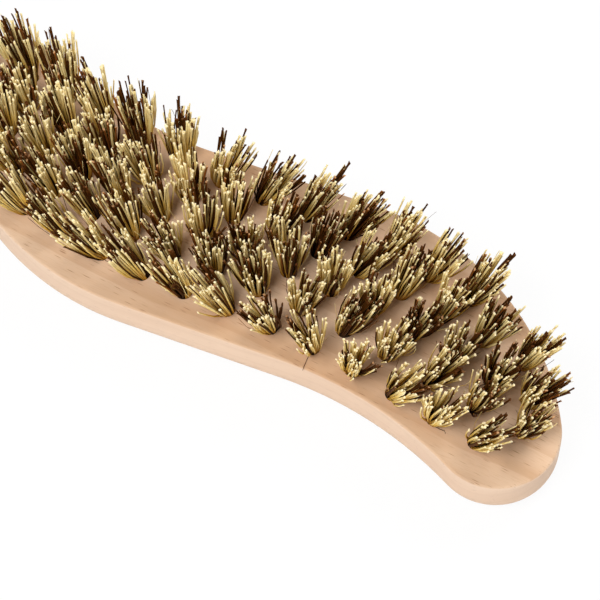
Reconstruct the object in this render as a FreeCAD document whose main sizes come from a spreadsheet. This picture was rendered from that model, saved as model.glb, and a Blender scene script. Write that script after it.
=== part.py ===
import FreeCAD, Part
import math
import os

import Sketcher

# Scrub brush: a wave-shaped wooden block lies on its flat back, and tufts of plant fibre stand up from it.
# Each tuft is folded in half over a flat wire staple, driven into the bottom of a leaning blind hole.
# The frame has its origin at the middle of the back, +X along the block and +Z up through the tufts.

# Sizes in millimetres, angles in degrees.
SIZES = {
    # Outline: a half turn about the middle carries it onto itself.
    "block_length": 210.0,
    "block_width": 65.0,
    "block_thickness": 18.0,
    "bulge_radius": 80.0,
    "nose_radius": 18.0,
    "nose_lift": 0.8,
    "waist_radius": 114.0,
    "waist_place": 41.0,
    "back_round": 9.0,
    "rim_ease": 0.8,
    # Blind holes in five lengthwise rows, staggered and slanted, that follow the wave a little.
    "hole_diameter": 4.8,
    "back_web": 7.0,
    "end_margin": 11.9,
    "side_margin": 14.1,
    "row_slant": 13.0,
    "row_sway": 1.7,
    "sway_wave": 120.0,
    "middle_row_tufts": 15,
    "inner_row_tufts": 14,
    "outer_row_tufts": 12,
    "outer_row_shift": 1,
    "inner_row_spread": 7.0,
    "end_tuft_draw": 2.3,
    # Tufts fan out towards the ends and the sides and are trimmed to one level.
    "middle_lean": 7.0,
    "outer_lean": 15.0,
    "nose_lean": 13.0,
    "side_lean": 15.0,
    "lean_reach": 33.0,
    "lean_skew": 1.7,
    "tuft_height": 17.0,
    "tip_gap": 0.4,
    # Wire staples.
    "staple_wire": 0.6,
    "staple_width": 1.0,
    "staple_inset": 0.5,
    "staple_bite": 3.5,
    "fold_height": 1.8,
    "fit_gap": 0.1,
}

# Sizes that several pieces share, as formulas on the sheet.
HOLE_RADIUS = "sizes.hole_diameter / 2"
HOLE_DEPTH = "(sizes.block_thickness - sizes.back_web)"
ROOT_RADIUS = "(sizes.hole_diameter / 2 - sizes.fit_gap)"
STAPLE_HALF_SPAN = "(sizes.hole_diameter / 2 - sizes.staple_inset)"
CROWN_DEPTH = f"({HOLE_DEPTH} - sizes.fold_height - sizes.staple_wire)"
# A tuft stays straight until its leaning side is out of the hole.
COLLAR = "(sizes.hole_diameter / 2 * tan((sizes.outer_lean + sizes.nose_lean) * 1 deg))"

# Half the spacing of the tufts along a row, and the spacing of the rows.
ROW_NAMES = ("outer", "inner", "middle", "inner", "outer")
COLUMN_GAP = "((sizes.block_length / 2 - sizes.end_margin) / (sizes.middle_row_tufts - 1))"
ROW_GAP = f"((sizes.block_width - 2 * sizes.side_margin) / {len(ROW_NAMES) - 1})"

# A sketch's own axes and origin, and the points of a line or an arc.
H_AXIS, V_AXIS = range(-1, -3, -1)
START, END, CENTRE = range(1, 4)
ORIGIN = (H_AXIS, START)
UP = FreeCAD.Vector(0, 0, 1)

doc = FreeCAD.newDocument("scrub_brush")


def make_sheet():
    """Spreadsheet with one aliased cell for each size."""
    sheet = doc.addObject("Spreadsheet::Sheet", "sizes")
    for line, (alias, value) in enumerate(SIZES.items(), start=1):
        sheet.set(f"A{line}", alias)
        sheet.set(f"B{line}", str(value))
        sheet.setAlias(f"B{line}", alias)
    doc.recompute()
    return sheet


def new_body(name):
    return doc.addObject("PartDesign::Body", name)


def new_sketch(body, name, plane):
    """Sketch on one of the body's own origin planes."""
    sketch = body.newObject("Sketcher::SketchObject", name)
    support = next(item for item in body.Origin.OriginFeatures if item.Role == plane)
    sketch.AttachmentSupport = [(support, "")]
    sketch.MapMode = "FlatFace"
    return sketch


def dimension(sketch, kind, refs, name, formula, start_value):
    """Named dimension of a sketch, bound to a formula on the sheet."""
    index = sketch.addConstraint(Sketcher.Constraint(kind, *refs, start_value))
    sketch.renameConstraint(index, name)
    sketch.setExpression(f"Constraints.{name}", formula)


def polar(centre, radius, angle):
    return centre + FreeCAD.Vector(radius * math.cos(angle), radius * math.sin(angle), 0)


def heading(start, end):
    return math.atan2(end.y - start.y, end.x - start.x)


def add_arc(sketch, centre, radius, start, end):
    """Arc drawn anticlockwise from one angle to the next."""
    circle = Part.Circle(centre, UP, radius)
    return sketch.addGeometry(Part.ArcOfCircle(circle, start, end))


def outline_half(size, turn):
    """Straight side, hollow waist, round nose and long bulge of one half, turned about the middle."""
    half_turn = FreeCAD.Rotation(UP, turn)
    nose_drop = size["block_width"] / 2 - size["nose_radius"] - size["nose_lift"]
    nose = FreeCAD.Vector(size["block_length"] / 2 - size["nose_radius"], -nose_drop, 0)
    bulge_y = size["block_width"] / 2 - size["bulge_radius"]
    bulge_reach = size["bulge_radius"] - size["nose_radius"]
    bulge = FreeCAD.Vector(nose.x - math.sqrt(bulge_reach**2 - (nose.y - bulge_y) ** 2), bulge_y, 0)
    waist_x = size["waist_place"]
    waist_reach = size["waist_radius"] + size["nose_radius"]
    waist = FreeCAD.Vector(waist_x, nose.y - math.sqrt(waist_reach**2 - (waist_x - nose.x) ** 2), 0)
    # The straight side touches the other half's bulge from below and this half's waist from above.
    other_bulge = -bulge
    span = waist - other_bulge
    touch = math.acos((size["bulge_radius"] + size["waist_radius"]) / span.Length)
    side = heading(other_bulge, waist) - touch
    spin = math.radians(turn)
    return {
        "line": (half_turn.multVec(polar(other_bulge, size["bulge_radius"], side)),
                 half_turn.multVec(polar(waist, -size["waist_radius"], side))),
        "waist": (half_turn.multVec(waist), size["waist_radius"],
                  heading(waist, nose) + spin, side + math.pi + spin),
        "nose": (half_turn.multVec(nose), size["nose_radius"],
                 heading(nose, waist) + spin, heading(bulge, nose) + spin),
        "bulge": (half_turn.multVec(bulge), size["bulge_radius"],
                  heading(bulge, nose) + spin, side + math.pi + spin),
    }


def draw_outline(body, size):
    """Closed wave outline of two equal halves, tangent all round."""
    sketch = new_sketch(body, "BlockOutline", "XY_Plane")
    halves = []
    for turn in (0, 180):
        shape = outline_half(size, turn)
        half = {"line": sketch.addGeometry(Part.LineSegment(*shape["line"]))}
        for name in ("waist", "nose", "bulge"):
            half[name] = add_arc(sketch, *shape[name])
        halves.append(half)
    for this, other in (halves, halves[::-1]):
        for joint in ((this["line"], END, this["waist"], END),
                      (this["waist"], START, this["nose"], START),
                      (this["nose"], END, this["bulge"], START),
                      (this["bulge"], END, other["line"], START)):
            sketch.addConstraint(Sketcher.Constraint("Tangent", *joint))
    first, second = halves
    start = outline_half(size, 0)
    for name in ("waist", "nose", "bulge"):
        dimension(sketch, "Radius", (first[name],), f"{name}_radius", f"sizes.{name}_radius",
                  start[name][1])
        sketch.addConstraint(Sketcher.Constraint("Equal", first[name], second[name]))
    nose, bulge, waist = (start[name][0] for name in ("nose", "bulge", "waist"))
    nose_centre = (first["nose"], CENTRE)
    dimension(sketch, "DistanceX", (*ORIGIN, *nose_centre), "nose_reach",
              "sizes.block_length / 2 - sizes.nose_radius", nose.x)
    dimension(sketch, "DistanceY", (*nose_centre, *ORIGIN), "nose_drop",
              "sizes.block_width / 2 - sizes.nose_radius - sizes.nose_lift", -nose.y)
    sketch.addConstraint(Sketcher.Constraint("Symmetric", *nose_centre, second["nose"], CENTRE, *ORIGIN))
    for half, name, towards in ((first, "near", False), (second, "far", True)):
        bulge_ends = [(half["bulge"], CENTRE), ORIGIN]
        waist_ends = [ORIGIN, (half["waist"], CENTRE)]
        if towards:
            bulge_ends.reverse()
            waist_ends.reverse()
        dimension(sketch, "DistanceY", (*bulge_ends[0], *bulge_ends[1]), f"{name}_bulge",
                  "sizes.bulge_radius - sizes.block_width / 2", -bulge.y)
        dimension(sketch, "DistanceX", (*waist_ends[0], *waist_ends[1]), f"{name}_waist",
                  "sizes.waist_place", waist.x)
    return sketch


def edges_at(feature, height):
    """Names of the edges that lie at one height."""
    return [f"Edge{number}" for number, edge in enumerate(feature.Shape.Edges, start=1)
            if all(abs(vertex.Z - height) < 1e-6 for vertex in edge.Vertexes)]


def add_fillet(body, name, base, height, formula):
    """Rounding of every edge at one height."""
    fillet = body.newObject("PartDesign::Fillet", name)
    fillet.Base = (base, edges_at(base, height))
    fillet.setExpression("Radius", formula)
    doc.recompute()
    return fillet


def make_block_blank(size):
    """Wave-shaped block before drilling, with a well rounded back and an eased rim."""
    body = new_body("BlockBlank")
    sketch = draw_outline(body, size)
    pad = body.newObject("PartDesign::Pad", "BlockPad")
    pad.Profile = sketch
    pad.setExpression("Length", "sizes.block_thickness")
    doc.recompute()
    back = add_fillet(body, "BackRound", pad, 0, "sizes.back_round")
    add_fillet(body, "RimEase", back, size["block_thickness"], "sizes.rim_ease")
    return body


def add_plug(body, name, radius, depth, tip, reach, start):
    """Round-bottomed plug on the Z axis, straight up to its collar and flared from there to its tip."""
    sketch = new_sketch(body, f"{name}Profile", "XZ_Plane")
    low = FreeCAD.Vector(0, -start["depth"], 0)
    shoulder = FreeCAD.Vector(start["radius"], start["radius"] - start["depth"], 0)
    collar = FreeCAD.Vector(start["radius"], start["collar"], 0)
    rim = FreeCAD.Vector(start["tip"], start["reach"], 0)
    top = FreeCAD.Vector(0, start["reach"], 0)
    bowl = add_arc(sketch, FreeCAD.Vector(0, shoulder.y, 0), start["radius"], -math.pi / 2, 0)
    wall, flare, lid, axis = (sketch.addGeometry(Part.LineSegment(*ends)) for ends in (
        (shoulder, collar), (collar, rim), (rim, top), (top, low)))
    sketch.addConstraint(Sketcher.Constraint("Tangent", bowl, END, wall, START))
    for before, after in ((wall, flare), (flare, lid), (lid, axis), (axis, bowl)):
        sketch.addConstraint(Sketcher.Constraint("Coincident", before, END, after, START))
    sketch.addConstraint(Sketcher.Constraint("Vertical", wall))
    sketch.addConstraint(Sketcher.Constraint("Horizontal", lid))
    for geometry, point in ((axis, START), (axis, END), (bowl, CENTRE)):
        sketch.addConstraint(Sketcher.Constraint("PointOnObject", geometry, point, V_AXIS))
    dimension(sketch, "Radius", (bowl,), "radius", radius, start["radius"])
    dimension(sketch, "DistanceY", (axis, END, *ORIGIN), "depth", depth, start["depth"])
    dimension(sketch, "DistanceY", (*ORIGIN, wall, END), "collar", COLLAR, start["collar"])
    dimension(sketch, "DistanceX", (*ORIGIN, flare, END), "tip", tip, start["tip"])
    dimension(sketch, "DistanceY", (*ORIGIN, flare, END), "reach", reach, start["reach"])
    plug = body.newObject("PartDesign::Revolution", name)
    plug.Profile = sketch
    plug.ReferenceAxis = (sketch, ["V_Axis"])
    plug.Angle = 360
    doc.recompute()
    return plug


def draw_staple(body, name, gap, size):
    """Outline of a flat wire staple, crown up and legs down, widened all round by a gap."""
    sketch = new_sketch(body, name, "XZ_Plane")
    slack = size["fit_gap"] if gap else 0.0
    depth = size["block_thickness"] - size["back_web"]
    half = size["hole_diameter"] / 2 - size["staple_inset"] + slack
    wire = size["staple_wire"] + 2 * slack
    top = slack - depth + size["fold_height"] + size["staple_wire"]
    low = -depth - size["staple_bite"] - slack
    points = [FreeCAD.Vector(*point, 0) for point in (
        (-half, low), (-half, top), (half, top), (half, low),
        (half - wire, low), (half - wire, top - wire), (wire - half, top - wire), (wire - half, low))]
    lines = [sketch.addGeometry(Part.LineSegment(*ends)) for ends in zip(points, points[1:] + points[:1])]
    left, crown, right, right_foot, right_inside, underside, left_inside, left_foot = lines
    for before, after in zip(lines, lines[1:] + lines[:1]):
        sketch.addConstraint(Sketcher.Constraint("Coincident", before, END, after, START))
    for line in (left, right, right_inside, left_inside):
        sketch.addConstraint(Sketcher.Constraint("Vertical", line))
    for line in (crown, right_foot, underside, left_foot):
        sketch.addConstraint(Sketcher.Constraint("Horizontal", line))
    room = f" + {gap}" if gap else ""
    wide = f"sizes.staple_wire + 2 * {gap}" if gap else "sizes.staple_wire"
    dimension(sketch, "DistanceX", (crown, START, *ORIGIN), "left_half", STAPLE_HALF_SPAN + room, half)
    dimension(sketch, "DistanceX", (*ORIGIN, crown, END), "right_half", STAPLE_HALF_SPAN + room, half)
    dimension(sketch, "DistanceX", (left_foot, END, left_foot, START), "left_wire", wide, wire)
    dimension(sketch, "DistanceX", (right_foot, END, right_foot, START), "right_wire", wide, wire)
    dimension(sketch, "DistanceY", (underside, END, crown, START), "crown_wire", wide, wire)
    crown_depth = CROWN_DEPTH + (f" - {gap}" if gap else "")
    foot_depth = f"{HOLE_DEPTH} + sizes.staple_bite{room}"
    dimension(sketch, "DistanceY", (crown, END, *ORIGIN), "crown_depth", crown_depth, -top)
    dimension(sketch, "DistanceY", (left_foot, END, *ORIGIN), "left_foot", foot_depth, -low)
    dimension(sketch, "DistanceY", (right_foot, END, *ORIGIN), "right_foot", foot_depth, -low)
    return sketch


def add_staple_feature(body, kind, name, gap, size):
    """Staple outline carried to both sides of its plane, added to or cut from the body."""
    sketch = draw_staple(body, f"{name}Outline", gap, size)
    feature = body.newObject(kind, name)
    feature.Profile = sketch
    feature.SideType = "Symmetric"
    feature.setExpression("Length", f"sizes.staple_width + 2 * {gap}" if gap else "sizes.staple_width")
    doc.recompute()
    return feature


def spacings(size):
    """Half the spacing of the tufts along a row, and the spacing of the rows."""
    column_gap = (size["block_length"] / 2 - size["end_margin"]) / (size["middle_row_tufts"] - 1)
    row_gap = (size["block_width"] - 2 * size["side_margin"]) / (len(ROW_NAMES) - 1)
    return column_gap, row_gap


def neighbour_spacing(size):
    """Least distance between the middles of two tufts in rows that lie side by side."""
    column_gap, row_gap = spacings(size)
    return math.hypot(column_gap - math.tan(math.radians(size["row_slant"])) * row_gap, row_gap)


def collar_height(size):
    """Height above the block's face up to which a tuft stays straight."""
    return size["hole_diameter"] / 2 * math.tan(math.radians(size["outer_lean"] + size["nose_lean"]))


def make_drill(size):
    """Space of one blind hole with the slots that the staple's legs cut below it."""
    body = new_body("HoleDrill")
    radius = size["hole_diameter"] / 2
    start = {"radius": radius, "depth": size["block_thickness"] - size["back_web"], "tip": radius,
             "collar": collar_height(size), "reach": size["hole_diameter"]}
    add_plug(body, "HoleSpace", HOLE_RADIUS, HOLE_DEPTH, HOLE_RADIUS, "sizes.hole_diameter", start)
    add_staple_feature(body, "PartDesign::Pad", "LegSlots", "sizes.fit_gap", size)
    return body


def make_tuft(size):
    """Folded tuft on the Z axis, longer than any trimmed one, with the staple's space in its fold."""
    body = new_body("TuftBlank")
    radius = size["hole_diameter"] / 2 - size["fit_gap"]
    tip = (neighbour_spacing(size) - size["tip_gap"]) / 2
    collar = collar_height(size)
    # The flare goes on past its tip in a straight line, to twice its length.
    start = {"radius": radius, "depth": size["block_thickness"] - size["back_web"] - size["fit_gap"],
             "tip": 2 * tip - radius, "collar": collar, "reach": 2 * size["tuft_height"] - collar}
    step = f"({COLUMN_GAP} - tan(sizes.row_slant * 1 deg) * {ROW_GAP})"
    tip_diameter = f"(sqrt({step}^2 + {ROW_GAP}^2) - sizes.tip_gap)"
    plug = add_plug(body, "TuftPlug", ROOT_RADIUS, f"{HOLE_DEPTH} - sizes.fit_gap",
                    f"{tip_diameter} - {ROOT_RADIUS}", f"2 * sizes.tuft_height - {COLLAR}", start)
    whole = plug.Shape.Volume
    slot = add_staple_feature(body, "PartDesign::Pocket", "StapleSpace", "sizes.fit_gap", size)
    if slot.Shape.Volume >= whole:
        raise RuntimeError("the staple's space wasn't cut from the tuft")
    return body


def make_staple(size):
    """Flat wire staple on the Z axis, as it lies in its hole."""
    body = new_body("StapleBlank")
    add_staple_feature(body, "PartDesign::Pad", "StapleWire", "", size)
    return body


def tuft_places(size):
    """Row, column and placement of each hole."""
    column_gap, row_gap = spacings(size)
    slant = math.tan(math.radians(size["row_slant"]))
    half_length, half_width = size["block_length"] / 2, size["block_width"] / 2
    middle = len(ROW_NAMES) // 2
    for row, name in enumerate(ROW_NAMES):
        side = row - middle
        offset = side * row_gap
        tufts = int(size[f"{name}_row_tufts"])
        row_lean = size["middle_lean"] + (size["outer_lean"] - size["middle_lean"]) * (side / middle) ** 2
        # The outer rows end further along where the block bulges.
        shift = -side / middle * size["outer_row_shift"] if name == "outer" else 0
        for number in range(tufts):
            column = round(shift + 2 * number - (tufts - 1))
            x = column * column_gap - slant * offset
            if name == "inner":
                # An inner row spreads out towards the nose on its own side.
                x -= side * size["inner_row_spread"] * max(0, -side * x / half_length) ** 2
            if name == "middle" and number in (0, tufts - 1):
                # The last tuft at each end stands closer to the one before it.
                x -= math.copysign(size["end_tuft_draw"], x)
            y = offset + size["row_sway"] * math.sin(2 * math.pi * x / size["sway_wave"])
            # The lean along the block grows up to its reach, sooner on the side that bulges,
            # and then goes on growing to the nose.
            along = max(-1, min(1, (x + size["lean_skew"] * y) / size["lean_reach"]))
            fan = row_lean * math.sin(math.pi / 2 * along) + size["nose_lean"] * (x / half_length) ** 3
            end_lean = math.radians(fan)
            side_lean = math.radians(size["side_lean"]) * y / half_width
            lean = FreeCAD.Vector(math.tan(end_lean), math.tan(side_lean), 1)
            mouth = FreeCAD.Vector(x, y, size["block_thickness"])
            yield row, column, FreeCAD.Placement(mouth, FreeCAD.Rotation(UP, lean))


def placed(shape, placement):
    """Copy of a shape, moved from the Z axis to its hole."""
    copy = shape.copy()
    copy.transformShape(placement.toMatrix(), True)
    return copy


def make_group(label, shapes):
    """Node that holds equal pieces as separate solids."""
    group = doc.addObject("Part::Feature", label)
    group.Shape = Part.makeCompound(shapes)
    group.Label = label
    return group


def trim_space(size):
    """Space above the level at which the tufts are shorn."""
    reach = size["block_length"] + size["block_width"]
    corner = FreeCAD.Vector(-reach, -reach, size["block_thickness"] + size["tuft_height"])
    return Part.makeBox(2 * reach, 2 * reach, reach, corner)


def build():
    """Block, columns of tufts across the block and rows of staples along it."""
    sheet = make_sheet()
    size = {alias: float(sheet.get(alias)) for alias in SIZES}
    blank = make_block_blank(size)
    drill, tuft, staple = make_drill(size), make_tuft(size), make_staple(size)
    places = list(tuft_places(size))

    holes = make_group("TuftHoles", [placed(drill.Shape, place) for _, _, place in places])
    block = doc.addObject("Part::Cut", "wooden_block")
    block.Base = blank
    block.Tool = holes
    doc.recompute()
    if block.Shape.Volume >= blank.Shape.Volume:
        raise RuntimeError("the holes weren't drilled")

    nodes = [block]
    shorn = trim_space(size)
    for number, column in enumerate(sorted({column for _, column, _ in places}), start=1):
        shapes = [placed(tuft.Shape, place).cut(shorn) for _, at, place in places if at == column]
        nodes.append(make_group(f"tuft_column_{number:02d}", shapes))
    for row in sorted({row for row, _, _ in places}):
        shapes = [placed(staple.Shape, place) for at, _, place in places if at == row]
        nodes.append(make_group(f"staple_row_{row + 1}", shapes))
    doc.recompute()
    print("tufts", len(places), "nodes", len(nodes))
    return nodes


def check(nodes):
    """Stop on a failed feature or a broken shape."""
    for item in doc.Objects:
        if "Invalid" in item.State or "Error" in item.State:
            raise RuntimeError(f"{item.Label} failed: {item.State}")
    for node in nodes:
        if node.Shape.isNull() or not node.Shape.isValid():
            raise RuntimeError(f"{node.Label} has no sound shape")


def export(nodes):
    os.makedirs("parts", exist_ok=True)
    for node in nodes:
        node.Shape.exportStep(os.path.join("parts", f"{node.Label}.step"))


brush = build()
check(brush)
export(brush)
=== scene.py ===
"""Scrub brush: a beech block in a wave shape, with leaning tufts of mixed straw and brown plant fibre."""
from __future__ import annotations

import logging
import math
from dataclasses import dataclass, field
from enum import Enum
from typing import Any, Mapping, Sequence

import bpy
import numpy as np
from mathutils import Matrix, Vector


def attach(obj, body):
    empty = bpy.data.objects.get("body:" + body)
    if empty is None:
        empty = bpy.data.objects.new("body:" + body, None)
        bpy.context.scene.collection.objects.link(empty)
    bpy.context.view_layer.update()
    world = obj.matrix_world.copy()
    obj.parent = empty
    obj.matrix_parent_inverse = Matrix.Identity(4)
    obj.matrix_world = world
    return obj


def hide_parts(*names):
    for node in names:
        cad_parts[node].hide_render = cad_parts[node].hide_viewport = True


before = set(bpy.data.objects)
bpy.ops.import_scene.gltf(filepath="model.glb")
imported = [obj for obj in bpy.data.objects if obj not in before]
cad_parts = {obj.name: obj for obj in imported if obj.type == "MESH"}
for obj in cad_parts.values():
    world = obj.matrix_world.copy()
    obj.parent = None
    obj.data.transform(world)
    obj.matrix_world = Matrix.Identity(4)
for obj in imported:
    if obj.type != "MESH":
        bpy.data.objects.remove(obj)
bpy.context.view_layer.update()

log = logging.getLogger("scrub_brush")

Colour = tuple[float, float, float, float]
Triple = tuple[float, float, float]
Span = tuple[float, float]
BODY = "root"
WHITE: Colour = (1.0, 1.0, 1.0, 1.0)
GOLDEN_ANGLE = math.pi * (3.0 - math.sqrt(5.0))
LEVEL: Triple = (1.0, 1.0, 0.0)


class Slot(Enum):
    """Material slots of the record, which the finishes are named after."""

    WOOD = "block_wood"
    FIBRE = "plant_fibre"
    WIRE = "staple_wire"


@dataclass(frozen=True)
class StrandSizes:
    """Sizes of one kind of strand, in metres, with its reach and its end as shares of the tuft's own."""

    count: int
    least_radius: float
    most_radius: float
    bow: float
    reach: float
    end_width: float
    height_range: Span
    fallen_share: float


class Strand(Enum):
    """Kinds of strand in a tuft: cut stalks, and the fine hairs among them."""

    STALK = StrandSizes(count=92, least_radius=0.00023, most_radius=0.00037, bow=0.00030, reach=1.0,
                        end_width=1.50, height_range=(-0.0020, 0.0018), fallen_share=0.0)
    HAIR = StrandSizes(count=6, least_radius=0.00006, most_radius=0.00011, bow=0.00080, reach=1.25,
                       end_width=0.5, height_range=(-0.003, 0.003), fallen_share=0.1)


def srgb(red: int, green: int, blue: int) -> Colour:
    """Linear colour of a screen colour: a straight line near black, and a power of 2.4 above it.

    Args:
        red: Red from 0 to 255.
        green: Green from 0 to 255.
        blue: Blue from 0 to 255.

    Returns:
        Linear red, green and blue, and an alpha of 1.
    """
    screen = np.array([red, green, blue]) / 255.0
    linear = np.where(screen <= 0.04045, screen / 12.92, ((screen + 0.055) / 1.055) ** 2.4)
    return (*linear.tolist(), 1.0)


class Wire:
    """Output socket of a node; arithmetic on it adds Math nodes."""

    def __init__(self, graph: Graph, socket: bpy.types.NodeSocket) -> None:
        """Wrap a socket of a graph."""
        self.graph = graph
        self.socket = socket

    def math(self, operation: str, *values: Wire | float) -> Wire:
        """Math node on this value and others."""
        sockets = dict(enumerate((self, *values)))
        return self.graph.add("ShaderNodeMath", {"operation": operation}, sockets)

    def __add__(self, other: Wire | float) -> Wire:
        """Sum."""
        return self.math("ADD", other)

    __radd__ = __add__

    def __mul__(self, other: Wire | float) -> Wire:
        """Product."""
        return self.math("MULTIPLY", other)

    __rmul__ = __mul__

    def __sub__(self, other: Wire | float) -> Wire:
        """Difference."""
        return self.math("SUBTRACT", other)

    def __rsub__(self, other: float) -> Wire:
        """Difference from a number."""
        return self.graph.add("ShaderNodeMath", {"operation": "SUBTRACT"}, {0: other, 1: self})

    def __truediv__(self, other: Wire | float) -> Wire:
        """Quotient."""
        return self.math("DIVIDE", other)

    def step(self, low: float, high: float) -> Wire:
        """Smooth step from 0 at the low value to 1 at the high one."""
        sockets = {"Value": self, "From Min": low, "From Max": high}
        return self.graph.add("ShaderNodeMapRange", {"interpolation_type": "SMOOTHSTEP"}, sockets)


class Graph:
    """Node tree of one material."""

    def __init__(self, name: str) -> None:
        """Empty material.

        Args:
            name: The material's name.
        """
        self.material = bpy.data.materials.new(name)
        self.material.use_nodes = True
        self.tree = self.material.node_tree
        self.tree.nodes.clear()

    def add(self, kind: str, settings: Mapping[str, Any] | None = None,
            sockets: Mapping[int | str, Any] | None = None, output: int | str = 0) -> Wire:
        """Node with its settings and sockets.

        Args:
            kind: Blender's node type.
            settings: Properties of the node, set first.
            sockets: Values or links of its inputs.
            output: The output to return.

        Returns:
            The chosen output, which is empty on a node without outputs.
        """
        node = self.tree.nodes.new(kind)
        for key, value in (settings or {}).items():
            setattr(node, key, value)
        for key, value in (sockets or {}).items():
            if isinstance(value, Wire):
                self.tree.links.new(value.socket, node.inputs[key])
            else:
                node.inputs[key].default_value = value
        return Wire(self, node.outputs[output] if len(node.outputs) else None)

    def mix(self, factor: Wire | float, first: Wire | Colour, second: Wire | Colour) -> Wire:
        """Blend of two colours, the first at a factor of 0 and the second at 1."""
        settings = {"data_type": "RGBA", "blend_type": "MIX", "clamp_factor": True}
        return self.add("ShaderNodeMix", settings, {0: factor, 6: first, 7: second}, 2)

    def place(self, scale: Sequence[float], shift: Sequence[float] = (0, 0, 0)) -> Wire:
        """Object coordinates, moved and then stretched for a pattern.

        Args:
            scale: Stretch along each axis, in cells per metre.
            shift: Move along each axis, in metres.

        Returns:
            The place in the pattern.
        """
        coords = self.add("ShaderNodeTexCoord", output="Object")
        moved = self.add("ShaderNodeVectorMath", {"operation": "ADD"}, {0: coords, 1: shift})
        return self.add("ShaderNodeVectorMath", {"operation": "MULTIPLY"}, {0: moved, 1: scale})

    def noise(self, scale: Sequence[float], detail: float = 2.0, shift: Sequence[float] = (0, 0, 0)) -> Wire:
        """Noise from 0 to 1 with a count of cells per metre along each axis."""
        sockets = {"Vector": self.place(scale, shift), "Scale": 1.0, "Detail": detail}
        return self.add("ShaderNodeTexNoise", None, sockets)

    def surface(self, sockets: Mapping[str, Any]) -> bpy.types.Material:
        """Principled surface, put on the material's output.

        Args:
            sockets: Values or links of the surface's inputs.

        Returns:
            The finished material.
        """
        shader = self.add("ShaderNodeBsdfPrincipled", None, sockets)
        self.add("ShaderNodeOutputMaterial", None, {"Surface": shader})
        return self.material


@dataclass(frozen=True)
class BeechFinish:
    """Bare sanded beech: soft bands along the grain, short dark rays and fine pores.

    Cells are counts per metre, few along the grain and many across it. A pattern fades in over its span,
    and its share is the strength of its colour.
    """

    pale: Colour = srgb(222, 190, 160)
    warm: Colour = srgb(208, 170, 136)
    late: Colour = srgb(192, 150, 114)
    ray: Colour = srgb(150, 104, 70)
    # Painted light: a pale tone for the steep sides, which catch more light from the front and from the
    # ground.
    painted_wall_light: Colour = srgb(238, 214, 194)
    broad_detail: float = 3.0
    band_cells: Triple = (9.0, 70.0, 70.0)
    band_span: Span = (0.36, 0.66)
    pith: Span = (0.03, -0.09)
    ring_width: float = 0.0042
    bend_cells: Triple = (7.0, 22.0, 22.0)
    ring_bend: float = 0.012
    late_span: Span = (0.55, 0.95)
    late_end: Span = (0.95, 1.0)
    late_share: float = 0.34
    pore_cells: Triple = (260.0, 3600.0, 3600.0)
    pore_shift: Triple = (0.3, 0.1, 0.2)
    pore_span: Span = (0.50, 0.74)
    pore_share: float = 0.26
    ray_cells: Triple = (200.0, 2400.0, 2400.0)
    ray_span: Span = (0.08, 0.34)
    ray_pick: Span = (0.55, 0.95)
    ray_share: float = 0.80
    level_span: Span = (0.35, 0.85)
    painted_wall_light_share: float = 0.55
    ray_depth: float = 0.6
    pore_depth: float = 0.5
    bump_strength: float = 0.12
    bump_distance: float = 0.0002
    roughness: float = 0.50
    pore_roughness: float = 0.16
    specular: float = 0.06

    def rings(self, graph: Graph) -> Wire:
        """Growth rings: the distance from a pith line under the block, bent by noise, in ring widths.

        Args:
            graph: The material's graph.

        Returns:
            The way through each ring, from 0 to 1.
        """
        bend = graph.noise(self.bend_cells, self.broad_detail) - 0.5
        place = graph.place((0.0, 1.0, 1.0), (0.0, -self.pith[0], -self.pith[1]))
        reach = graph.add("ShaderNodeVectorMath", {"operation": "LENGTH"}, {0: place}, "Value")
        turns = (reach + bend * self.ring_bend) / self.ring_width
        return turns.math("FRACT")

    def rays(self, graph: Graph) -> Wire:
        """Rays: middles of cells drawn out along the grain, kept in some of the cells.

        Args:
            graph: The material's graph.

        Returns:
            Strength of the rays, from 0 to 1.
        """
        sockets = {"Vector": graph.place(self.ray_cells), "Scale": 1.0}
        near = graph.add("ShaderNodeTexVoronoi", {"feature": "F1"}, sockets, "Distance")
        cell = graph.add("ShaderNodeTexVoronoi", {"feature": "F1"}, sockets, "Color")
        lot = graph.add("ShaderNodeSeparateColor", None, {0: cell}, 0)
        return (1.0 - near.step(*self.ray_span)) * lot.step(*self.ray_pick)

    def build(self) -> bpy.types.Material:
        """Beech, with painted light making the steep sides paler, for the extra light they catch from the
        front and from the white ground.

        Returns:
            The finished material.
        """
        graph = Graph(Slot.WOOD.value)
        bands = graph.noise(self.band_cells, self.broad_detail)
        pores = graph.noise(self.pore_cells, shift=self.pore_shift)
        ring = self.rings(graph)
        rays = self.rays(graph)
        late = ring.step(*self.late_span) * (1.0 - ring.step(*self.late_end))
        tone = graph.mix(bands.step(*self.band_span), self.pale, self.warm)
        tone = graph.mix(late * self.late_share, tone, self.late)
        tone = graph.mix(pores.step(*self.pore_span) * self.pore_share, tone, self.late)
        tone = graph.mix(rays * self.ray_share, tone, self.ray)
        # Painted light: the steep sides are blended towards a paler tone.
        facing = graph.add("ShaderNodeNewGeometry", output="Normal")
        rise = graph.add("ShaderNodeSeparateXYZ", None, {0: facing}, "Z")
        steep = 1.0 - rise.math("ABSOLUTE").step(*self.level_span)
        tone = graph.mix(steep * self.painted_wall_light_share, tone, self.painted_wall_light)
        height = 0.0 - rays * self.ray_depth - pores * self.pore_depth
        sockets = {"Strength": self.bump_strength, "Distance": self.bump_distance, "Height": height}
        bump = graph.add("ShaderNodeBump", None, sockets)
        rough = pores * self.pore_roughness + self.roughness
        return graph.surface({"Base Color": tone, "Roughness": rough, "Normal": bump,
                              "Specular IOR Level": self.specular})


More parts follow.
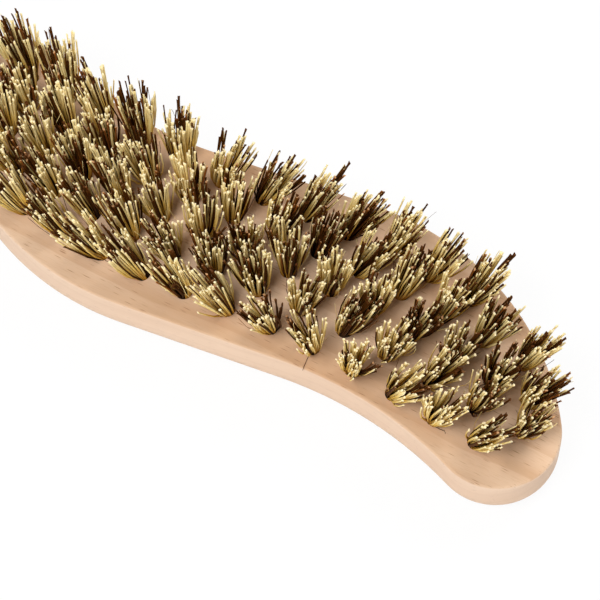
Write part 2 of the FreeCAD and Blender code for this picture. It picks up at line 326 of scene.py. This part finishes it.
@dataclass(frozen=True)
class FibreFinish:
    """Mixed plant fibre, with painted shade darkening it towards the root, painted light paling the straw
    towards the tip, and pale cut ends.

    The strand attribute carries the share of brown in red, the way along in green and a lot number in blue,
    and its alpha is 1 on the cut ends. A tone fades in over its span of the lot, the way along or the mottle.
    """

    # Painted shade: the straw root tone stands for the shade deep among the fibres, and it is also the dark of
    # the straw's random mottle.
    straw_root_shade_and_mottle: Colour = srgb(168, 118, 36)
    straw_dull: Colour = srgb(216, 174, 74)
    straw: Colour = srgb(236, 204, 114)
    straw_pale: Colour = srgb(246, 224, 154)
    # Painted light: the straw tip tone pales the sides towards the top of the tuft.
    straw_tip_light: Colour = srgb(248, 229, 170)
    straw_cut: Colour = srgb(246, 230, 188)
    # Painted shade: the brown root tone stands for the shade deep among the fibres, and it is also the dark of
    # the brown's random mottle.
    brown_root_shade_and_mottle: Colour = srgb(36, 16, 2)
    brown: Colour = srgb(76, 42, 12)
    brown_red: Colour = srgb(136, 80, 32)
    brown_cut: Colour = srgb(84, 48, 22)
    brown_cut_pale: Colour = srgb(196, 150, 106)
    straw_span: Span = (0.0, 0.55)
    pale_span: Span = (0.55, 1.0)
    straw_root_shade_span: Span = (-0.1, 0.60)
    tip_light_span: Span = (0.45, 1.0)
    tip_light_share: float = 0.9
    mottle_cells: Triple = (700.0, 700.0, 260.0)
    straw_mottle: Span = (0.5, 0.8)
    straw_mottle_share: float = 0.35
    red_span: Span = (0.8, 1.0)
    brown_root_shade_span: Span = (0.0, 0.6)
    brown_mottle: Span = (0.5, 0.75)
    brown_mottle_share: float = 0.5
    pale_cut_span: Span = (0.65, 1.0)
    roughness: float = 0.62
    brown_gloss: float = 0.12
    specular: float = 0.03
    attribute: str = "strand"

    def straws(self, graph: Graph, along: Wire, lot: Wire, mottle: Wire) -> Wire:
        """Colour of the straw strands' sides, with painted shade darkening them towards the root and painted
        light paling them towards the tip.

        Args:
            graph: The material's graph.
            along: Way along the strand.
            lot: The strand's lot.
            mottle: Noise along the strand.

        Returns:
            The colour.
        """
        straw = graph.mix(lot.step(*self.straw_span), self.straw_dull, self.straw)
        straw = graph.mix(lot.step(*self.pale_span), straw, self.straw_pale)
        # Painted shade: the straw darkens towards the root.
        straw = graph.mix(along.step(*self.straw_root_shade_span), self.straw_root_shade_and_mottle, straw)
        # Painted light: the straw pales towards the tip.
        straw = graph.mix(along.step(*self.tip_light_span) * self.tip_light_share, straw, self.straw_tip_light)
        return graph.mix(mottle.step(*self.straw_mottle) * self.straw_mottle_share, straw, self.straw_root_shade_and_mottle)

    def browns(self, graph: Graph, along: Wire, lot: Wire, mottle: Wire) -> Wire:
        """Colour of the brown strands' sides, with painted shade darkening them towards the root.

        Args:
            graph: The material's graph.
            along: Way along the strand.
            lot: The strand's lot.
            mottle: Noise along the strand.

        Returns:
            The colour.
        """
        dark = graph.mix(lot.step(*self.red_span), self.brown, self.brown_red)
        # Painted shade: the brown darkens towards the root.
        dark = graph.mix(along.step(*self.brown_root_shade_span), self.brown_root_shade_and_mottle, dark)
        return graph.mix(mottle.step(*self.brown_mottle) * self.brown_mottle_share, dark, self.brown_root_shade_and_mottle)

    def build(self) -> bpy.types.Material:
        """Fibre, in straw and brown by the strand's own share.

        Returns:
            The finished material.
        """
        graph = Graph(Slot.FIBRE.value)
        settings = {"attribute_name": self.attribute}
        colour = graph.add("ShaderNodeAttribute", settings, output="Color")
        cut = graph.add("ShaderNodeAttribute", settings, output="Alpha")
        brown, along, lot = (graph.add("ShaderNodeSeparateColor", None, {0: colour}, index)
                             for index in range(3))
        mottle = graph.noise(self.mottle_cells)
        straw = self.straws(graph, along, lot, mottle)
        dark = self.browns(graph, along, lot, mottle)
        side = graph.mix(brown, straw, dark)
        dark_end = graph.mix(lot.step(*self.pale_cut_span), self.brown_cut, self.brown_cut_pale)
        end = graph.mix(brown, self.straw_cut, dark_end)
        tone = graph.mix(cut, side, end)
        rough = self.roughness - brown * self.brown_gloss
        return graph.surface({"Base Color": tone, "Roughness": rough, "Specular IOR Level": self.specular})


@dataclass(frozen=True)
class WireFinish:
    """Drawn flat steel wire with fine marks along it."""

    steel: Colour = srgb(168, 168, 164)
    dull: Colour = srgb(120, 120, 118)
    mark_cells: Triple = (400.0, 6000.0, 6000.0)
    roughness: float = 0.3
    mark_roughness: float = 0.2

    def build(self) -> bpy.types.Material:
        """Wire, duller and rougher by its marks.

        Returns:
            The finished material.
        """
        graph = Graph(Slot.WIRE.value)
        marks = graph.noise(self.mark_cells)
        tone = graph.mix(marks, self.dull, self.steel)
        rough = marks * self.mark_roughness + self.roughness
        return graph.surface({"Base Color": tone, "Metallic": 1.0, "Roughness": rough})


@dataclass(frozen=True)
class GroundFinish:
    """Pale ground that looks white and keeps a faint shadow of the brush."""

    tone: Colour = srgb(245, 244, 242)
    white_share: float = 0.93

    def build(self) -> bpy.types.Material:
        """Ground that is partly its own light for what is seen straight, mirrored or through glass.

        Returns:
            The finished material.
        """
        graph = Graph("ground")
        seen = [graph.add("ShaderNodeLightPath", output=name)
                for name in ("Is Camera Ray", "Is Glossy Ray", "Is Transmission Ray")]
        shown = seen[0].math("MAXIMUM", seen[1]).math("MAXIMUM", seen[2])
        matt = graph.add("ShaderNodeBsdfDiffuse", None, {"Color": self.tone})
        white = graph.add("ShaderNodeEmission", None, {"Color": WHITE, "Strength": 1.0})
        both = graph.add("ShaderNodeMixShader", None, {0: shown * self.white_share, 1: matt, 2: white})
        graph.add("ShaderNodeOutputMaterial", None, {"Surface": both})
        return graph.material


@dataclass
class TuftField:
    """Places and leans of the tufts, in the rows and columns of the drilled holes. Lengths in metres."""

    block_length: float = 0.210
    block_width: float = 0.065
    block_thickness: float = 0.018
    end_margin: float = 0.0119
    side_margin: float = 0.0141
    row_slant: float = math.radians(13.0)
    row_sway: float = 0.0017
    sway_wave: float = 0.120
    row_tufts: tuple[int, ...] = (12, 14, 15, 14, 12)
    row_shifts: tuple[int, ...] = (1, 0, 0, 0, -1)
    inner_row_spread: float = 0.007
    end_tuft_draw: float = 0.0023
    middle_lean: float = math.radians(7.0)
    outer_lean: float = math.radians(15.0)
    nose_lean: float = math.radians(13.0)
    side_lean: float = math.radians(15.0)
    lean_reach: float = 0.033
    lean_skew: float = 1.7

    def columns(self) -> np.ndarray:
        """Numbers of the tufts' rows and columns: a row's columns go by twos about its shift.

        Returns:
            Row and column number of each tuft, as two arrays of whole numbers in one.
        """
        rows = np.repeat(np.arange(len(self.row_tufts)), self.row_tufts)
        parts = [shift + 2 * np.arange(count) - (count - 1)
                 for count, shift in zip(self.row_tufts, self.row_shifts)]
        return np.stack([rows, np.concatenate(parts)])

    def mouths(self, cells: np.ndarray) -> np.ndarray:
        """Middles of the holes on the block's face.

        Columns stand at even steps along the block. Each row is moved along by its slant, an inner row also by
        a square of the way to the nose on its side, and the middle row's last tufts stand a little closer.
        All swing across on a sine of the way along.

        Args:
            cells: Row and column numbers.

        Returns:
            Points, one to a line.
        """
        rows, columns = cells
        step = (self.block_length / 2 - self.end_margin) / (max(self.row_tufts) - 1)
        gap = (self.block_width - 2 * self.side_margin) / (len(self.row_tufts) - 1)
        side = rows - len(self.row_tufts) // 2
        offset = side * gap
        x = columns * step - math.tan(self.row_slant) * offset
        nose = np.clip(-side * x / (self.block_length / 2), 0.0, None)
        x = x - (np.abs(side) == 1) * side * self.inner_row_spread * nose**2
        last = (side == 0) & (np.abs(columns) == max(self.row_tufts) - 1)
        x = x - last * np.sign(columns) * self.end_tuft_draw
        y = offset + self.row_sway * np.sin(2 * np.pi * x / self.sway_wave)
        return np.stack([x, y, np.full(len(x), self.block_thickness)], axis=1)

    def leans(self, cells: np.ndarray, mouths: np.ndarray) -> np.ndarray:
        """Directions of the tufts.

        The lean along the block is a quarter sine up to its reach, larger in the outer rows, and a cube of
        the way to the nose. The lean across is a straight share of the way to the side.

        Args:
            cells: Row and column numbers.
            mouths: Middles of the holes.

        Returns:
            Directions with a rise of 1.
        """
        middle = len(self.row_tufts) // 2
        share = ((cells[0] - middle) / middle) ** 2
        row_lean = self.middle_lean + (self.outer_lean - self.middle_lean) * share
        along = np.clip((mouths[:, 0] + self.lean_skew * mouths[:, 1]) / self.lean_reach, -1.0, 1.0)
        nose = self.nose_lean * (mouths[:, 0] / (self.block_length / 2)) ** 3
        end = np.tan(row_lean * np.sin(np.pi / 2 * along) + nose)
        side = np.tan(self.side_lean * mouths[:, 1] / (self.block_width / 2))
        return np.stack([end, side, np.ones(len(mouths))], axis=1)


@dataclass
class Tuft:
    """One bundle of strands, from its fold in the hole to its cut tips. Lengths in metres.

    Stations count from -1 at the fold through 0 at the block's face to 1 at the cut.
    """

    mouth: np.ndarray
    lean: np.ndarray
    seed: int
    height: float = 0.017
    depth: float = 0.0085
    lean_scatter: float = 0.05
    root_radius: float = 0.00225
    fold_radius: float = 0.0017
    tip_radius: float = 0.0052
    bloom: float = 0.66
    tip_drop: float = 0.25
    brown_extra: float = 0.0022
    clumps: int = 14
    clump_reach: float = 0.95
    clump_pull: float = 0.60
    clump_shift: Triple = (0.0007, 0.0007, 0.0010)
    tip_scatter: float = 0.00035
    stray_reach: float = 0.45
    stray_power: float = 3.0
    short_share: float = 0.16
    short_cut: Span = (0.001, 0.006)
    fallen_rise: float = 4.0
    brown_share: Span = (0.32, 0.10)
    patches: int = 16
    patch_contrast: float = 0.36
    least_slope: float = 1e-9
    sides: int = 6
    across: Triple = (0.31, 0.95, 0.0)
    flatness: Span = (0.62, 1.0)
    slant: float = 0.9
    notch: float = 0.9
    stations: tuple[float, ...] = (-1.0, 0.0, 0.3, 0.65, 0.95, 1.0)
    width_stations: tuple[float, ...] = (-1.0, 0.0, 0.95, 1.0)
    widths: tuple[float, ...] = (0.8, 1.0, 0.94, 1.0)
    rng: np.random.Generator = field(init=False)
    way: np.ndarray = field(init=False)

    def __post_init__(self) -> None:
        """Set up this tuft's own lots and the way its strands go above the face, near its hole's lean."""
        self.rng = np.random.default_rng(self.seed)
        self.way = self.lean + self.rng.normal(0.0, self.lean_scatter, 3) * LEVEL

    @staticmethod
    def spread(count: int) -> np.ndarray:
        """Even points of a unit disc: the square root of the share gives the reach, the golden angle the turn.

        Args:
            count: How many points.

        Returns:
            Points, one to a line.
        """
        index = np.arange(count) + 0.5
        reach, turn = np.sqrt(index / count), index * GOLDEN_ANGLE
        return np.stack([reach * np.cos(turn), reach * np.sin(turn)], axis=1)

    @staticmethod
    def nearest(points: np.ndarray, middles: np.ndarray) -> np.ndarray:
        """Number of the middle that lies nearest to each point."""
        return np.argmin(((points[:, None] - middles[None]) ** 2).sum(axis=2), axis=1)

    def ends(self, sizes: StrandSizes) -> tuple[np.ndarray, np.ndarray, np.ndarray]:
        """Points where the strands leave the block and where they were cut.

        Roots are even points of the hole's disc. Tips are the same points on a wider disc, drawn towards
        the middle of the nearest clump, with the clump's and the strand's own shift in place and height.
        Each strand strays further out by a power of a lot, the outer ones are a little lower, some are short,
        brown ones may stand out, and a fallen one lies along the wood. Brown is a lot against the share of
        the nearest patch.

        Args:
            sizes: Sizes of the kind of strand.

        Returns:
            Roots, tips, and which strands are brown.
        """
        count = sizes.count
        turn = self.rng.uniform(0, 2 * math.pi)
        cos, sin = math.cos(turn), math.sin(turn)
        disc = self.spread(count) @ np.array([[cos, sin], [-sin, cos]])
        middles = self.spread(self.clumps) * self.clump_reach
        shifts = self.rng.normal(0.0, 1.0, (self.clumps, 3)) * self.clump_shift
        nearest = self.nearest(disc, middles)
        share = self.rng.normal(*self.brown_share)
        browns = share + self.rng.normal(0.0, self.patch_contrast, self.patches)
        pulled = disc + self.clump_pull * (middles[nearest] - disc)
        stray = 1.0 + self.stray_reach * self.rng.random(count) ** self.stray_power
        flat = pulled * (self.tip_radius * sizes.reach * stray)[:, None] + shifts[nearest, :2]
        flat = flat + self.rng.normal(0.0, self.tip_scatter, (count, 2))
        short = (self.rng.random(count) < self.short_share) * self.rng.uniform(*self.short_cut, count)
        rise = self.height + shifts[nearest, 2] + self.rng.uniform(*sizes.height_range, count) - short
        rise = rise - self.tip_drop * (flat**2).sum(axis=1) / self.height
        brown = self.rng.random(count) < browns[self.nearest(disc, self.spread(self.patches))]
        rise = rise + brown * self.rng.uniform(0.0, self.brown_extra, count)
        fallen = self.rng.random(count) < sizes.fallen_share
        rise = np.where(fallen, self.fallen_rise * sizes.most_radius, rise)
        roots = np.concatenate([disc * self.root_radius, np.zeros((count, 1))], axis=1)
        tips = np.concatenate([flat, np.zeros((count, 1))], axis=1) + rise[:, None] * self.way
        # The mouth of a leaning hole is an ellipse, longer along the lean.
        slope = self.lean * LEVEL
        stretch = (math.sqrt(1.0 + slope @ slope) - 1.0) / max(slope @ slope, self.least_slope)
        roots = roots + stretch * (roots @ slope)[:, None] * slope
        return self.mouth + roots, self.mouth + tips, brown

    def lines(self, sizes: StrandSizes, roots: np.ndarray, tips: np.ndarray) -> np.ndarray:
        """Middle line of each strand at its stations.

        Below the face a strand runs back along the tuft's lean and draws in towards the fold. Above, it climbs
        evenly along the tuft's way and fans out by a root of the climb, with a small bow: a parabola of the
        climb that is largest half way.

        Args:
            sizes: Sizes of the kind of strand.
            roots: Points on the block's face.
            tips: Cut ends.

        Returns:
            Points by strand and station.
        """
        stations = np.array(self.stations)[None, :, None]
        above, below = np.clip(stations, 0.0, 1.0), np.clip(-stations, 0.0, 1.0)
        bow = self.rng.normal(0.0, sizes.bow, (len(roots), 1, 3)) * LEVEL
        axis = self.lean / np.linalg.norm(self.lean)
        inwards = (roots - self.mouth)[:, None] * (1.0 - self.fold_radius / self.root_radius)
        climb = (tips - roots)[:, 2:] * self.way
        fan = tips - roots - climb
        open_out = roots[:, None] + climb[:, None] * above + fan[:, None] * above**self.bloom
        return open_out + bow * 4 * above * (1 - above) - below * (self.depth * axis + inwards)

    def strands(self, kind: Strand) -> tuple[np.ndarray, np.ndarray]:
        """Skins of all strands of a kind: an ellipse square to the strand, carried along its middle line.

        The last ellipse is drawn out to a fishtail: wider one way by a lot, cut at a slant and notched.

        Args:
            kind: Stalks or hairs.

        Returns:
            Points by strand, station and side, and two colour lots for each strand.
        """
        sizes = kind.value
        roots, tips, brown = self.ends(sizes)
        lines = self.lines(sizes, roots, tips)
        count = len(lines)
        run = (tips - roots) / np.linalg.norm(tips - roots, axis=1, keepdims=True)
        one = np.cross(run, self.across)
        one /= np.linalg.norm(one, axis=1, keepdims=True)
        two = np.cross(run, one)
        radius = self.rng.uniform(sizes.least_radius, sizes.most_radius, (count, 1))
        turn = 2 * math.pi * np.arange(self.sides)[None] / self.sides
        wide = radius * np.cos(turn)
        narrow = radius * self.rng.uniform(*self.flatness, (count, 1)) * np.sin(turn)
        spin = self.rng.uniform(0, math.pi, (count, 1))
        broad = (np.cos(spin) * one + np.sin(spin) * two)[:, None] * wide[..., None]
        thin = (np.cos(spin) * two - np.sin(spin) * one)[:, None] * narrow[..., None]
        width = np.interp(self.stations, self.width_stations, self.widths)
        points = lines[:, :, None] + (broad + thin)[:, None] * width[None, :, None, None]
        slant = self.rng.uniform(-self.slant, self.slant, (2, count, 1))
        cut = wide * slant[0] + narrow * slant[1] + np.abs(wide) * self.notch
        flare = self.rng.random((count, 1, 1)) * (sizes.end_width - 1.0)
        points[:, -1] += flare * broad + cut[..., None] * run[:, None]
        return points, np.stack([brown * 1.0, self.rng.random(count)], axis=1)


@dataclass
class FibreColumn:
    """Strands of the tufts in one column across the block, as one mesh."""

    number: int
    tufts: list[Tuft]
    finish: bpy.types.Material
    attribute: str

    @staticmethod
    def tones(corners: np.ndarray, lots: np.ndarray, along: np.ndarray, cut: float) -> np.ndarray:
        """Colours of face corners, as the fibre's finish reads them.

        Args:
            corners: Numbers of the corners' points.
            lots: Two colour lots for each strand.
            along: Way along the strand at each of its points.
            cut: 1 on the ends, 0 on the walls.

        Returns:
            Colours, one to a line.
        """
        strand, point = np.divmod(corners, len(along))
        parts = [lots[strand, 0], along[point], lots[strand, 1], np.full(corners.shape, cut)]
        return np.stack(parts, axis=-1).reshape(-1, 4)

    def arrays(self) -> tuple[np.ndarray, list[list[int]], np.ndarray, np.ndarray]:
        """Mesh of all strands.

        Each strand is a grid of stations and sides, closed round, with a flat face on both ends.

        Returns:
            Points, faces, a colour for each face corner, and which faces are ends.
        """
        parts = [tuft.strands(kind) for kind in Strand for tuft in self.tufts]
        points = np.concatenate([skin for skin, _ in parts])
        lots = np.concatenate([lot for _, lot in parts])
        count, rings, sides = points.shape[:3]
        along = np.repeat(np.clip(np.array(self.tufts[0].stations), 0.0, 1.0), sides)
        grid = np.arange(count * rings * sides).reshape(count, rings, sides)
        after = np.roll(grid, -1, axis=2)
        walls = np.stack([grid[:, :-1], after[:, :-1], after[:, 1:], grid[:, 1:]], axis=-1)
        ends = np.stack([grid[:, 0, ::-1], grid[:, -1]], axis=1)
        tones = np.concatenate([self.tones(walls, lots, along, 0.0), self.tones(ends, lots, along, 1.0)])
        faces = walls.reshape(-1, 4).tolist() + ends.reshape(-1, sides).tolist()
        flat = np.repeat([False, True], [walls.size // 4, ends.size // sides])
        return points.reshape(-1, 3), faces, tones, flat

    def build(self) -> bpy.types.Object:
        """Piece that stands for the column's solids.

        Returns:
            The piece, riding on the body.
        """
        points, faces, tones, flat = self.arrays()
        mesh = bpy.data.meshes.new(f"fibre_column_{self.number:02d}")
        mesh.from_pydata(points.tolist(), [], faces)
        strand = mesh.color_attributes.new(self.attribute, "FLOAT_COLOR", "CORNER")
        strand.data.foreach_set("color", tones.ravel())
        mesh.polygons.foreach_set("use_smooth", ~flat)
        mesh.materials.append(self.finish)
        mesh.update()
        piece = bpy.data.objects.new(mesh.name, mesh)
        bpy.context.scene.collection.objects.link(piece)
        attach(piece, BODY)
        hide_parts(f"tuft_column_{self.number:02d}")
        return piece


@dataclass
class Brush:
    """The whole brush: drilled block, staples in its holes and tufts of fibre."""

    layout: TuftField = field(default_factory=TuftField)
    beech: BeechFinish = BeechFinish()
    fibre: FibreFinish = FibreFinish()
    wire: WireFinish = WireFinish()
    first_seed: int = 1000

    def dress(self) -> None:
        """Give the block and the staples their finishes."""
        finishes = {"wooden_block": self.beech.build(), "staple_row": self.wire.build()}
        for name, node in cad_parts.items():
            for start, finish in finishes.items():
                if name.startswith(start):
                    node.data.materials.clear()
                    node.data.materials.append(finish)
                    log.info("dressed %s with %s", name, finish.name)

    def bristle(self) -> None:
        """Set the tufts into their holes, column by column."""
        cells = self.layout.columns()
        mouths = self.layout.mouths(cells)
        leans = self.layout.leans(cells, mouths)
        finish = self.fibre.build()
        for number, column in enumerate(np.unique(cells[1]), start=1):
            at = np.flatnonzero(cells[1] == column)
            tufts = [Tuft(mouths[i], leans[i], seed=self.first_seed + int(i)) for i in at]
            piece = FibreColumn(number, tufts, finish, self.fibre.attribute).build()
            log.info("set %s with %d tufts", piece.name, len(tufts))


@dataclass(frozen=True)
class Lamp:
    """Square soft lamp that looks at the brush. Place, side and aim in metres, power in watts."""

    name: str
    place: Triple
    side: float
    power: float
    aim: Triple = (0.0, 0.0, 0.02)

    def build(self) -> None:
        """Hang the lamp up."""
        data = bpy.data.lights.new(self.name, "AREA")
        data.size = self.side
        data.energy = self.power
        lamp = bpy.data.objects.new(self.name, data)
        place = Vector(self.place)
        lamp.location = place
        lamp.rotation_euler = (Vector(self.aim) - place).to_track_quat("-Z", "Y").to_euler()
        bpy.context.scene.collection.objects.link(lamp)


@dataclass
class Studio:
    """White ground, soft light and the camera at the photograph's place. Lengths in metres."""

    azimuth: float = math.radians(29.38)
    elevation: float = math.radians(62.35)
    distance: float = 0.800
    focal_pixels: float = 2775.0
    frame_pixels: float = 600.0
    origin_pixel: tuple[float, float] = (246.7, 283.2)
    sensor: float = 36.0
    clip: Span = (0.01, 20.0)
    ground_reach: float = 3.0
    world_strength: float = 0.30
    lamps: tuple[Lamp, ...] = (
        Lamp("main_lamp", (-0.10, -0.58, 1.10), 0.48, 11.0),
        Lamp("front_lamp", (0.60, -1.00, 0.50), 0.80, 2.4),
        Lamp("back_lamp", (0.20, 0.75, 0.95), 0.60, 7.0),
    )

    def ground(self) -> None:
        """Level ground that the brush lies on."""
        corners = np.array([(-1, -1, 0), (1, -1, 0), (1, 1, 0), (-1, 1, 0)]) * self.ground_reach
        mesh = bpy.data.meshes.new("ground")
        mesh.from_pydata(corners.tolist(), [], [(0, 1, 2, 3)])
        mesh.materials.append(GroundFinish().build())
        floor = bpy.data.objects.new("ground", mesh)
        bpy.context.scene.collection.objects.link(floor)

    def light(self) -> None:
        """Even white surroundings, a main lamp from above, and weaker ones from the front and the back."""
        world = bpy.data.worlds.new("surroundings")
        world.use_nodes = True
        back = world.node_tree.nodes["Background"]
        back.inputs["Color"].default_value = WHITE
        back.inputs["Strength"].default_value = self.world_strength
        bpy.context.scene.world = world
        for lamp in self.lamps:
            lamp.build()

    def camera(self) -> None:
        """Camera whose picture puts the brush's origin at its pixel of the photograph."""
        cos_a, sin_a = math.cos(self.azimuth), math.sin(self.azimuth)
        cos_e, sin_e = math.cos(self.elevation), math.sin(self.elevation)
        right = Vector((cos_a, sin_a, 0.0))
        up = Vector((-sin_a * sin_e, cos_a * sin_e, cos_e))
        back = Vector((sin_a * cos_e, -cos_a * cos_e, sin_e))
        metre = self.distance / self.focal_pixels
        over = (self.origin_pixel[0] - self.frame_pixels / 2) * metre
        above = (self.frame_pixels / 2 - self.origin_pixel[1]) * metre
        data = bpy.data.cameras.new("camera")
        data.sensor_fit = "HORIZONTAL"
        data.sensor_width = self.sensor
        data.lens = self.focal_pixels * self.sensor / self.frame_pixels
        data.clip_start, data.clip_end = self.clip
        eye = bpy.data.objects.new("camera", data)
        turn = Matrix((right, up, back)).transposed().to_4x4()
        eye.matrix_world = Matrix.Translation(back * self.distance - right * over - up * above) @ turn
        bpy.context.scene.collection.objects.link(eye)
        bpy.context.scene.camera = eye

    def build(self) -> None:
        """Set up the picture."""
        bpy.context.scene.view_settings.view_transform = "Standard"
        self.ground()
        self.light()
        self.camera()


def main() -> None:
    """Build the brush and its picture."""
    logging.basicConfig(level=logging.INFO, format="%(name)s: %(message)s")
    brush = Brush()
    brush.dress()
    brush.bristle()
    Studio().build()


if __name__ == "__main__":
    main()
